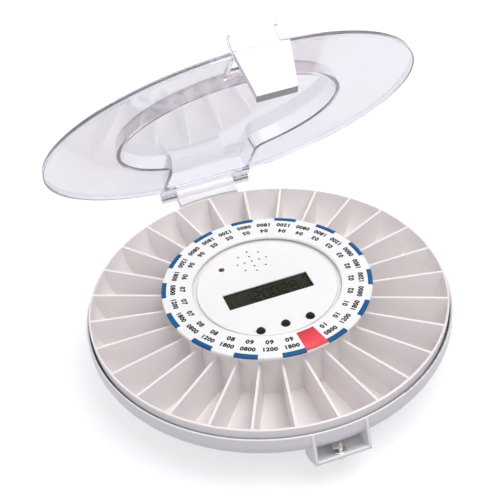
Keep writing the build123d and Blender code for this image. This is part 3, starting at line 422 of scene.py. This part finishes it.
def clear_plastic(name, tint, other, rough, gloss=(1, 1, 1), ior=ACRYLIC_IOR, clear=1.0):
    """A see-through plastic between two tints and two roughnesses; clear is its share of glass."""
    material, tree, shader, coords = start_material(name)
    drift = noise(tree, coords, TINT_SCALE)
    tree.links.new(two_tints(tree, drift, tint, other), shader.inputs["Base Color"])
    shader.inputs["Transmission Weight"].default_value = clear
    shader.inputs["IOR"].default_value = ior
    shader.inputs["Specular Tint"].default_value = (*gloss, 1)
    flow = noise(tree, coords, FLOW_SCALE)
    tree.links.new(spread(tree, flow, *rough), shader.inputs["Roughness"])
    waves = noise(tree, coords, WAVE_SCALE, WAVE_DETAIL)
    bump(tree, shader, waves, WAVE_STRENGTH, WAVE_DEPTH)
    return material


lid_clear = clear_plastic("lid_clear", (0.84, 0.80, 0.84), (0.80, 0.81, 0.86), (0.04, 0.09),
                          gloss=(0.79, 0.79, 0.85), clear=0.90)
lcd_clear = clear_plastic("lcd_clear", (0.80, 0.80, 0.72), (0.78, 0.78, 0.70), (0.02, 0.05),
                          gloss=(0.3, 0.3, 0.3), ior=1.25)
lamp_red = clear_plastic("lamp_red", (0.10, 0.008, 0.014), (0.13, 0.010, 0.018), (0.05, 0.12),
                         clear=0.3)
print("clear plastics made")

# %% [markdown]
# ## The display's film and the inks
#
# A liquid crystal display is a greenish grey film, nearly black from this side, with slightly
# darker digits; bars that are off stay a shade from the film. Inks are matt, so they get little
# shine. The plastics' recipe makes them all.

# %% Make the display's film and the inks
lcd_film = moulded("lcd_film", (0.026, 0.028, 0.013), (0.032, 0.034, 0.016), (0.45, 0.5),
                   depth=0.001 * MM, shine=0.2)
lcd_digit = moulded("lcd_digit", (0.002, 0.002, 0.001), (0.003, 0.003, 0.002), (0.45, 0.5), shine=0.1)
lcd_ghost = moulded("lcd_ghost", (0.021, 0.023, 0.010), (0.025, 0.027, 0.012), (0.45, 0.5), shine=0.2)
ink_black = moulded("ink_black", (0.006, 0.006, 0.007), (0.010, 0.010, 0.011), (0.45, 0.55), shine=0.2)
ink_blue = moulded("ink_blue", (0.003, 0.095, 0.26), (0.005, 0.11, 0.29), (0.40, 0.50), shine=0.25)
ink_red = moulded("ink_red", (0.82, 0.055, 0.075), (0.86, 0.075, 0.095), (0.40, 0.50), shine=0.3)
print("inks made")

# %% [markdown]
# ## Dressing the CAD nodes
#
# Each CAD node keeps its mesh and only gets a material. A table from material to nodes keeps this
# in one place, and the last line prints any node that was forgotten.

# %% Give each node its material
FINISHES = {
    shell_white: ("base_shell", "lock_housing", "battery_door", "lid_tongue"),
    tray_white: ("tray_bowl", "tray_dividers"),
    cover_white: ("display_cover",),
    ring_white: ("dose_ring",),
    lid_clear: ("lid_panel",),
    lcd_clear: ("lcd_window",),
    lamp_red: ("status_led",),
    lcd_film: ("lcd_module",),
    key_black: ("button_left", "button_middle", "button_right", "tact_switches", "buzzer", "index_switch"),
    foot_rubber: ("foot_ring",),
    inner_grey: ("centre_housing",),
    gear_natural: ("drive_ring",),
    board_green: ("main_board",),
    lock_steel: ("lock_barrel", "lock_cam", "cam_screw"),
    plate_steel: ("lock_keeper",),
    pin_steel: ("hinge_pins", "motor_shaft", "motor_screws", "housing_screws", "board_screws",
                "drive_motor", "battery_contacts"),
    pinion_brass: ("motor_pinion",),
    cell_label: ("battery_cells",),
}


def dress(node, material):
    """Replace every material of a CAD node."""
    slots = nodes[node].data.materials
    slots.clear()
    slots.append(material)


for material, names in FINISHES.items():
    for name in names:
        dress(name, material)
# Clear plastic hardly dims the light, but its refracting faces would cast a dark shadow.
nodes["lid_panel"].visible_shadow = False
left_out = sorted(set(nodes) - {name for names in FINISHES.values() for name in names})
print("nodes without a finish:", left_out)

# %% [markdown]
# ## Printed fields on the dose ring
#
# The ring has 28 fields. Every second one has a blue bar at the rim, wrapped a little over the
# edge. The bars repeat round a circle, which is what Geometry Nodes are for: one bar is swept
# along an arc, and instances of it are turned by an equal step.

# %% Measure the dose ring
FIELDS = 28
STEP = math.tau / FIELDS
FIRST_FIELD = math.radians(270.4)
ring_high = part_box("dose_ring")[1]
RING_R = ring_high.x
RING_TOP = ring_high.z
print("dose ring radius", round(RING_R / MM, 2), "mm, top at", round(RING_TOP / MM, 2), "mm")

# %% Make what every repeating tree shares
COMMON_INPUTS = (
    ("Step", "NodeSocketFloat", 0.4),
    ("Count", "NodeSocketInt", 14),
    ("Place", "NodeSocketVector", (0, 0, 0)),
    ("Material", "NodeSocketMaterial", None),
)


def start_tree(name, own_inputs):
    """An empty geometry tree with its own named inputs and the common ones."""
    tree = bpy.data.node_groups.new(name, "GeometryNodeTree")
    sockets = {}
    for label, kind, default in own_inputs + COMMON_INPUTS:
        item = tree.interface.new_socket(label, in_out="INPUT", socket_type=kind)
        if default is not None:
            item.default_value = default
        sockets[label] = item.identifier
    tree.interface.new_socket("Geometry", in_out="OUTPUT", socket_type="NodeSocketGeometry")
    return tree, sockets, tree.nodes.new("NodeGroupInput").outputs


def repeat_round(tree, shape, inputs):
    """Copies of a shape turned by equal steps round the Z axis, moved to their place and painted."""
    made, link = tree.nodes.new, tree.links.new
    points = made("GeometryNodePoints")
    link(inputs["Count"], points.inputs["Count"])
    turn_by = made("ShaderNodeMath")
    turn_by.operation = "MULTIPLY"
    link(made("GeometryNodeInputIndex").outputs[0], turn_by.inputs[0])
    link(inputs["Step"], turn_by.inputs[1])
    turn = made("ShaderNodeCombineXYZ")
    link(turn_by.outputs[0], turn.inputs["Z"])
    copies = made("GeometryNodeInstanceOnPoints")
    link(points.outputs[0], copies.inputs["Points"])
    link(shape, copies.inputs["Instance"])
    link(turn.outputs[0], copies.inputs["Rotation"])
    moved = made("GeometryNodeTransform")
    link(copies.outputs[0], moved.inputs["Geometry"])
    link(inputs["Place"], moved.inputs["Translation"])
    real = made("GeometryNodeRealizeInstances")
    link(moved.outputs[0], real.inputs[0])
    paint = made("GeometryNodeSetMaterial")
    link(real.outputs[0], paint.inputs["Geometry"])
    link(inputs["Material"], paint.inputs["Material"])
    link(paint.outputs[0], made("NodeGroupOutput").inputs[0])


print("every tree takes:", ", ".join(label for label, kind, default in COMMON_INPUTS))

# %% Build a tree of bars and a tree of dots
DOT_CORNERS = 16


def bars_tree():
    """Flat bars that follow a circle: an arc carries a rectangle."""
    tree, sockets, inputs = start_tree("bars_round_a_circle", (
        ("Radius", "NodeSocketFloat", 0.053),
        ("Width", "NodeSocketFloat", 0.002),
        ("Thickness", "NodeSocketFloat", 0.0001),
        ("Start", "NodeSocketFloat", 0.0),
        ("Sweep", "NodeSocketFloat", 0.2),
        ("Pieces", "NodeSocketInt", 12),
    ))
    made, link = tree.nodes.new, tree.links.new
    arc = made("GeometryNodeCurveArc")
    arc.mode = "RADIUS"
    link(inputs["Pieces"], arc.inputs["Resolution"])
    link(inputs["Radius"], arc.inputs["Radius"])
    link(inputs["Start"], arc.inputs["Start Angle"])
    link(inputs["Sweep"], arc.inputs["Sweep Angle"])
    profile = made("GeometryNodeCurvePrimitiveQuadrilateral")
    profile.mode = "RECTANGLE"
    link(inputs["Width"], profile.inputs["Width"])
    link(inputs["Thickness"], profile.inputs["Height"])
    sweep = made("GeometryNodeCurveToMesh")
    sweep.inputs["Fill Caps"].default_value = True
    link(arc.outputs["Curve"], sweep.inputs["Curve"])
    link(profile.outputs["Curve"], sweep.inputs["Profile Curve"])
    repeat_round(tree, sweep.outputs["Mesh"], inputs)
    return tree, sockets


def dots_tree():
    """Round plates on a circle."""
    tree, sockets, inputs = start_tree("dots_on_a_circle", (
        ("Radius", "NodeSocketFloat", 0.004),
        ("Dot Radius", "NodeSocketFloat", 0.0005),
        ("Depth", "NodeSocketFloat", 0.0001),
    ))
    made, link = tree.nodes.new, tree.links.new
    dot = made("GeometryNodeMeshCylinder")
    dot.inputs["Vertices"].default_value = DOT_CORNERS
    link(inputs["Dot Radius"], dot.inputs["Radius"])
    link(inputs["Depth"], dot.inputs["Depth"])
    outward = made("ShaderNodeCombineXYZ")
    link(inputs["Radius"], outward.inputs["X"])
    placed = made("GeometryNodeTransform")
    link(dot.outputs["Mesh"], placed.inputs["Geometry"])
    link(outward.outputs[0], placed.inputs["Translation"])
    repeat_round(tree, placed.outputs[0], inputs)
    return tree, sockets


bars, bar_sockets = bars_tree()
dots, dot_sockets = dots_tree()
print("bars:", ", ".join(bar_sockets))
print("dots:", ", ".join(dot_sockets))

# %% Turn a tree's result into a plain mesh


def grown(name, tree, sockets, values):
    """Run a geometry tree with these inputs and keep its result as a plain mesh object."""
    seed = bpy.data.objects.new(name, bpy.data.meshes.new(name + "_seed"))
    bpy.context.scene.collection.objects.link(seed)
    modifier = seed.modifiers.new("grow", "NODES")
    modifier.node_group = tree
    for label, value in values.items():
        modifier[sockets[label]] = value
    evaluated = seed.evaluated_get(bpy.context.evaluated_depsgraph_get())
    mesh = bpy.data.meshes.new_from_object(evaluated)
    seed.modifiers.clear()
    seed.data = mesh
    mesh.name = name
    return seed


def bars_round(name, radius, width, thickness, height, start, sweep, step, count, material, pieces=12):
    """Bars on a circle of a radius, with their middle at a height."""
    return grown(name, bars, bar_sockets, {
        "Radius": radius, "Width": width, "Thickness": thickness, "Place": (0, 0, height),
        "Start": start, "Sweep": sweep, "Step": step, "Count": count, "Pieces": pieces,
        "Material": material,
    })


print("a tree's result becomes one plain mesh")

# %% Print the blue bars
BLUE_W = 2.4 * MM
BLUE_LAP = 0.06 * MM
BLUE_DOWN = 1.1 * MM


def add_blue_bars():
    """Blue bars on every second field, starting with the one before the red field."""
    first, count = FIRST_FIELD - STEP, FIELDS // 2
    bar = bars_round("blue_bars", RING_R - BLUE_W / 2 + BLUE_LAP, BLUE_W, 2 * BLUE_LAP, RING_TOP,
                     first, STEP, 2 * STEP, count, ink_blue)
    edge = bars_round("blue_edges", RING_R, 2 * BLUE_LAP, BLUE_DOWN, RING_TOP - BLUE_DOWN / 2,
                      first, STEP, 2 * STEP, count, ink_blue)
    for piece in (bar, edge):
        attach(piece, "tray")
        print(piece.name, len(piece.data.polygons), "faces")


add_blue_bars()

# %% [markdown]
# ## Numbers on the fields
#
# Each field has two small lines: a day number nearer the middle and a time of day nearer the
# edge, both with their tops to the middle. A text object gives the outline of each; it is turned
# into a mesh, moved to its field, and all of them are joined into one piece per line.

# %% Turn short texts into meshes
PRINT_T = 0.04 * MM
LETTER_WEIGHT = 0.20 * MM
LETTER_STEPS = 3


def letters(text, size, spacing):
    """Flat outlines of a short text as a mesh, centred on the origin."""
    curve = bpy.data.curves.new("letters", "FONT")
    curve.body = text
    curve.size = size
    curve.space_character = spacing
    curve.offset = LETTER_WEIGHT
    curve.resolution_u = LETTER_STEPS
    curve.extrude = PRINT_T / 2
    curve.align_x = "CENTER"
    curve.align_y = "CENTER"
    holder = bpy.data.objects.new("letters", curve)
    bpy.context.scene.collection.objects.link(holder)
    evaluated = holder.evaluated_get(bpy.context.evaluated_depsgraph_get())
    mesh = bpy.data.meshes.new_from_object(evaluated)
    bpy.data.objects.remove(holder)
    return mesh


def joined(name, parts, material):
    """One object from (mesh, matrix) pairs."""
    whole = bmesh.new()
    for mesh, matrix in parts:
        mesh.transform(matrix)
        whole.from_mesh(mesh)
        bpy.data.meshes.remove(mesh)
    mesh = bpy.data.meshes.new(name)
    whole.to_mesh(mesh)
    whole.free()
    mesh.materials.clear()
    mesh.materials.append(material)
    thing = bpy.data.objects.new(name, mesh)
    bpy.context.scene.collection.objects.link(thing)
    return thing


print("letters are", round(PRINT_T / MM, 2), "mm thick")

# %% Write and place the numbers
TIMES = ("0800", "1200", "1800")
FIELDS_PER_DAY = len(TIMES)
DAY_R, DAY_SIZE, DAY_SPACING = 43.6 * MM, 3.7 * MM, 1.15
TIME_R, TIME_SIZE, TIME_SPACING = 48.6 * MM, 3.5 * MM, 1.12


def on_ring(radius, angle, height):
    """Matrix for a text on the ring whose top points to the middle."""
    turn = Matrix.Rotation(angle + math.pi / 2, 4, "Z")
    return Matrix.Translation((radius * math.cos(angle), radius * math.sin(angle), height)) @ turn


def add_numbers():
    """A day and a time on every field but the red one."""
    days, times = [], []
    for field in range(1, FIELDS):
        angle = FIRST_FIELD + STEP * (field + 0.5)
        day = 1 + (field - 1) // FIELDS_PER_DAY
        days.append((letters(f"{day:02d}", DAY_SIZE, DAY_SPACING), on_ring(DAY_R, angle, RING_TOP)))
        time = TIMES[(field - 1) % FIELDS_PER_DAY]
        times.append((letters(time, TIME_SIZE, TIME_SPACING), on_ring(TIME_R, angle, RING_TOP)))
    for name, parts in (("day_numbers", days), ("time_numbers", times)):
        piece = joined(name, parts, ink_black)
        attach(piece, "tray")
        print(name, len(piece.data.polygons), "faces")


add_numbers()

# %% [markdown]
# ## The red field
#
# One field is a red tab, which marks the empty compartment. It is a sector with square ends,
# slightly thicker than print, and laps over the rim. The same tree sweeps it, with a count of one.

# %% Add the red field
TAB_R, TAB_W = 47.4 * MM, 13.6 * MM
TAB_T, TAB_LIFT = 0.3 * MM, 0.05 * MM
tab = bars_round("red_field", TAB_R, TAB_W, TAB_T, RING_TOP + TAB_LIFT, FIRST_FIELD, STEP, 0.0, 1, ink_red)
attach(tab, "tray")
print("red field", round(TAB_W / MM, 1), "mm wide")

# %% [markdown]
# ## Digits on the display
#
# Each digit of the display has seven bars. Bars that are off still show faintly. A short routine
# draws one pointed bar as a six-sided plate, and the digits are lists of which bars are on. A plate
# gets its thickness from a second face above the first and a wall along each edge of its rim. These
# are made one by one, because Blender's own extrude doesn't keep them in one order from run to run.

# %% Give a flat shape its thickness


def raised(name, whole, thickness, material):
    """Give flat faces a thickness along +Z and return them as one object."""
    lift = Vector((0, 0, thickness))
    flat_faces, rim = whole.faces[:], [edge for edge in whole.edges if edge.is_boundary]
    above = {corner: whole.verts.new(corner.co + lift) for corner in whole.verts[:]}
    for face in flat_faces:
        whole.faces.new([above[corner] for corner in face.verts])
    for edge in rim:
        start, end = edge.verts
        whole.faces.new((start, end, above[end], above[start]))
    bmesh.ops.recalc_face_normals(whole, faces=whole.faces[:])
    mesh = bpy.data.meshes.new(name)
    whole.to_mesh(mesh)
    whole.free()
    mesh.materials.append(material)
    thing = bpy.data.objects.new(name, mesh)
    bpy.context.scene.collection.objects.link(thing)
    return thing


print("flat shapes can be raised")

# %% Draw the display's digits
BARS_ON = {"0": "abcdef", "1": "bc", "2": "abged", "8": "abcdefg"}
DISPLAY_SHOWS = "120028"
DIGIT_W, DIGIT_H, DIGIT_GAP = 3.4 * MM, 6.6 * MM, 1.7 * MM
BAR_T, BAR_GAP, DIGIT_T = 0.8 * MM, 0.12 * MM, 0.02 * MM
DIGITS_LEFT = 13.2 * MM
LIFT_ON, LIFT_OFF = 0.01 * MM, 0.005 * MM


def bar_plate(across, start, length, t):
    """Corners of a pointed bar that starts at a point and runs along X or Y."""
    along = [(0, 0), (t / 2, t / 2), (length - t / 2, t / 2), (length, 0), (length - t / 2, -t / 2),
             (t / 2, -t / 2)]
    if across:
        return [(start[0] + a, start[1] + b) for a, b in along]
    return [(start[0] - b, start[1] + a) for a, b in along]


def digit_bars():
    """For each bar: whether it runs across, where it starts and how long it is."""
    half = DIGIT_H / 2
    return {
        "a": (True, (0, DIGIT_H), DIGIT_W), "g": (True, (0, half), DIGIT_W), "d": (True, (0, 0), DIGIT_W),
        "f": (False, (0, half), half), "b": (False, (DIGIT_W, half), half),
        "e": (False, (0, 0), half), "c": (False, (DIGIT_W, 0), half),
    }


def draw_digits(name, text, chosen, place, material, z):
    """Plates for the bars of a text that are on (or off) at a place on the display."""
    whole = bmesh.new()
    x, y = place
    for sign in text:
        for bar, (across, start, length) in digit_bars().items():
            if (bar in BARS_ON[sign]) == chosen:
                shift = (start[0] + BAR_GAP, start[1]) if across else (start[0], start[1] + BAR_GAP)
                corners = bar_plate(across, shift, length - 2 * BAR_GAP, BAR_T)
                whole.faces.new([whole.verts.new((x + a, y + b, z)) for a, b in corners])
        x += DIGIT_W + DIGIT_GAP
    thing = raised(name, whole, DIGIT_T, material)
    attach(thing, "base")
    return thing


lcd_low, lcd_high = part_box("lcd_module")
LCD_TOP = lcd_high.z
digits_at = ((lcd_low.x + lcd_high.x) / 2 - DIGITS_LEFT, (lcd_low.y + lcd_high.y) / 2 - DIGIT_H / 2)
draw_digits("lcd_digits_on", DISPLAY_SHOWS, True, digits_at, lcd_digit, LCD_TOP + LIFT_ON)
draw_digits("lcd_digits_off", DISPLAY_SHOWS, False, digits_at, lcd_ghost, LCD_TOP + LIFT_OFF)
print("display drawn at height", round(LCD_TOP / MM, 2), "mm")

# %% [markdown]
# ## The display's border of painted shade
#
# A black frame just under the window's edge paints the shade that falls round the edge of the
# display's recess. It is a flat frame: an outer and an inner rectangle with a strip of faces between them.

# %% Add the painted shade border
SHADE_BORDER_W = 0.8 * MM
SHADE_BORDER_T = 0.03 * MM


def flat_frame(low, high, width, z):
    """Faces of a rectangular frame between two corners, its inner edge a width further in."""
    outer = [(low.x, low.y), (high.x, low.y), (high.x, high.y), (low.x, high.y)]
    inner = [(low.x + width, low.y + width), (high.x - width, low.y + width),
             (high.x - width, high.y - width), (low.x + width, high.y - width)]
    whole = bmesh.new()
    rings = [[whole.verts.new((x, y, z)) for x, y in corners] for corners in (outer, inner)]
    for k in range(4):
        after = (k + 1) % 4
        whole.faces.new((rings[0][k], rings[0][after], rings[1][after], rings[1][k]))
    return whole


window_low, window_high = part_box("lcd_window")
frame_faces = flat_frame(window_low, window_high, SHADE_BORDER_W, window_low.z - 2 * SHADE_BORDER_T)
# This black frame is painted shade: the dark edge round the display's recess.
shade_border = raised("display_shade_border", frame_faces, SHADE_BORDER_T, key_black)
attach(shade_border, "base")
print("shade_border", round((window_high.x - window_low.x) / MM, 1), "mm long")

# %% [markdown]
# ## Painted shade in the sounder's holes
#
# A small dark disc sits a little below the top of each hole and paints the shade inside it.
# The holes stand on a middle point and two circles, so the tree of dots runs once for each.

# %% Add the discs of painted shade
HOLE_CIRCLES = ((0.0, 1), (4.1 * MM, 4), (8.05 * MM, 8))
SHADE_DISC_R = 0.56 * MM
SHADE_DISC_T = 0.10 * MM
SHADE_DISC_SINK = 0.35 * MM
sounder_low, sounder_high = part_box("buzzer")
cover_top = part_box("display_cover")[1].z
sounder_at = ((sounder_low.x + sounder_high.x) / 2, (sounder_low.y + sounder_high.y) / 2,
              cover_top - SHADE_DISC_SINK)
# Each dark disc is painted shade: it darkens its hole the way the hollow's shade would.
for ring_number, (radius, count) in enumerate(HOLE_CIRCLES):
    shade_discs = grown(f"dust_guards_{ring_number}", dots, dot_sockets, {
        "Radius": radius, "Dot Radius": SHADE_DISC_R, "Depth": SHADE_DISC_T, "Step": math.tau / count,
        "Count": count, "Place": sounder_at, "Material": key_black,
    })
    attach(shade_discs, "base")
    print(shade_discs.name, len(shade_discs.data.polygons), "faces")

# %% [markdown]
# ## Grip ribs on the battery door
#
# The door under the base is turned by hand. Two rows of short ribs near its edge give the fingers
# a hold. A rib is a very short arc, as wide as the rib is long, so the tree for the blue bars
# makes these too.

# %% Add the ribs
RIBS_IN_A_ROW = 9
RIB_STEP = math.radians(4.0)
RIB_SWEEP = math.radians(1.6)
RIB_L, RIB_H, RIB_SINK = 9 * MM, 0.8 * MM, 0.2 * MM
RIB_ROW_R = 31 * MM
door_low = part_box("battery_door")[0]
for side, middle in (("left", math.pi), ("right", 0.0)):
    start = middle - RIB_STEP * (RIBS_IN_A_ROW - 1) / 2 - RIB_SWEEP / 2
    ribs = bars_round("door_ribs_" + side, RIB_ROW_R, RIB_L, RIB_H, door_low.z - RIB_SINK,
                      start, RIB_SWEEP, RIB_STEP, RIBS_IN_A_ROW, shell_white, pieces=2)
    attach(ribs, "door")
    print(ribs.name, len(ribs.data.polygons), "faces")

# %% [markdown]
# ## Arrow on the battery door
#
# A raised arrow shows which way the door turns. It is one flat outline, given a thickness. Its
# corners are in millimetres.

# %% Add the arrow
ARROW = ((-4, -1), (1, -1), (1, -3), (5, 0), (1, 3), (1, 1), (-4, 1))
ARROW_Y, ARROW_T = -33 * MM, 0.3 * MM
arrow_faces = bmesh.new()
arrow_z = door_low.z - ARROW_T / 2
arrow_faces.faces.new([arrow_faces.verts.new((x * MM, y * MM + ARROW_Y, arrow_z)) for x, y in ARROW])
arrow = raised("door_arrow", arrow_faces, ARROW_T, shell_white)
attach(arrow, "door")
print("arrow at y", round(ARROW_Y / MM, 1), "mm")
